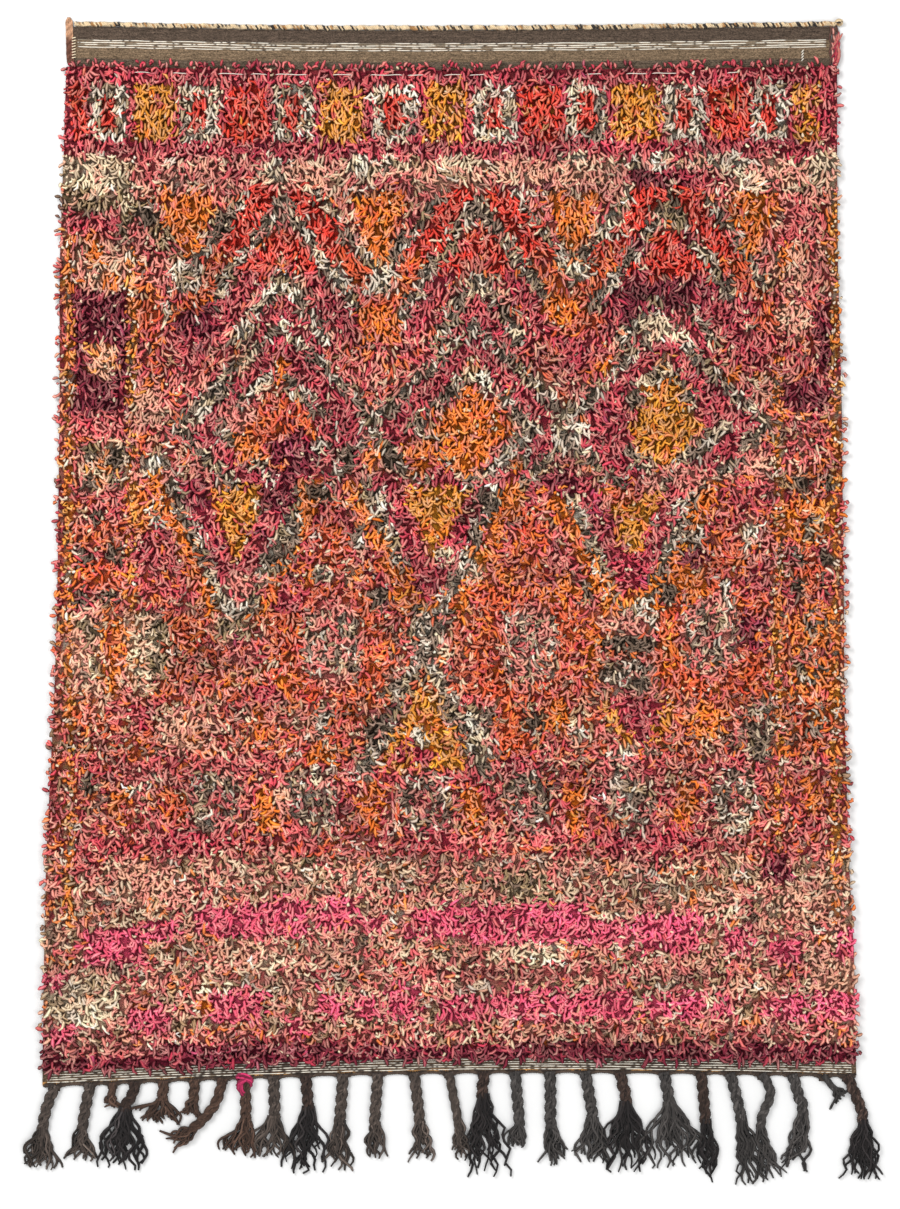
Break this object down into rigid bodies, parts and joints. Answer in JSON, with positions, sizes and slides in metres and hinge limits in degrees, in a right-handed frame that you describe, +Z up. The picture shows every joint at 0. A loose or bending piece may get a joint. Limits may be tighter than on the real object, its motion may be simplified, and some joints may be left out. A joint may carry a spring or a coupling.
{
  "type": "moroccan pile rug with braided fringe",
  "caption": "Hand-knotted shaggy wool rug lying flat, with flat-woven end bands, a corded head edge and a row of plaited braids with loose ends along the foot.",
  "frame": {"origin": "on the flat underside of the rug, at the middle of the woven cloth", "axes": "+Y along the rug towards its head edge, +Z up out of the pile, +X to the right seen from above with the head edge at the top"},
  "size_m": [1.8572, 2.5644, 0.0268],
  "materials": {
    "pile": "matt shaggy wool pile",
    "cord": "matt twined wool",
    "leather": "matt bound strip",
    "rose": "matt wound wool",
    "grey": "matt plaited goat hair and wool",
    "brown": "matt plaited goat hair and wool",
    "black": "matt plaited goat hair and wool",
    "slate": "matt plaited goat hair and wool"
  },
  "bodies": {
    "root": {"pile_cloth": "pile", "head_cord": "cord", "left_binding": "leather", "right_wrap": "rose", "braid_01": "grey", "braid_02": "grey", "braid_03": "brown", "braid_04": "black", "braid_05": "brown", "braid_06": "brown", "braid_07": "brown", "braid_08": "brown", "braid_09": "grey", "braid_10": "black", "braid_11": "grey", "braid_12": "grey", "braid_13": "grey", "braid_14": "grey", "braid_15": "black", "braid_16": "slate", "braid_17": "slate", "braid_18": "slate", "braid_19": "black", "braid_20": "slate", "braid_21": "black", "braid_22": "slate", "braid_23": "slate", "braid_24": "slate", "braid_25": "slate", "braid_26": "black"}
  },
  "joints": []
}
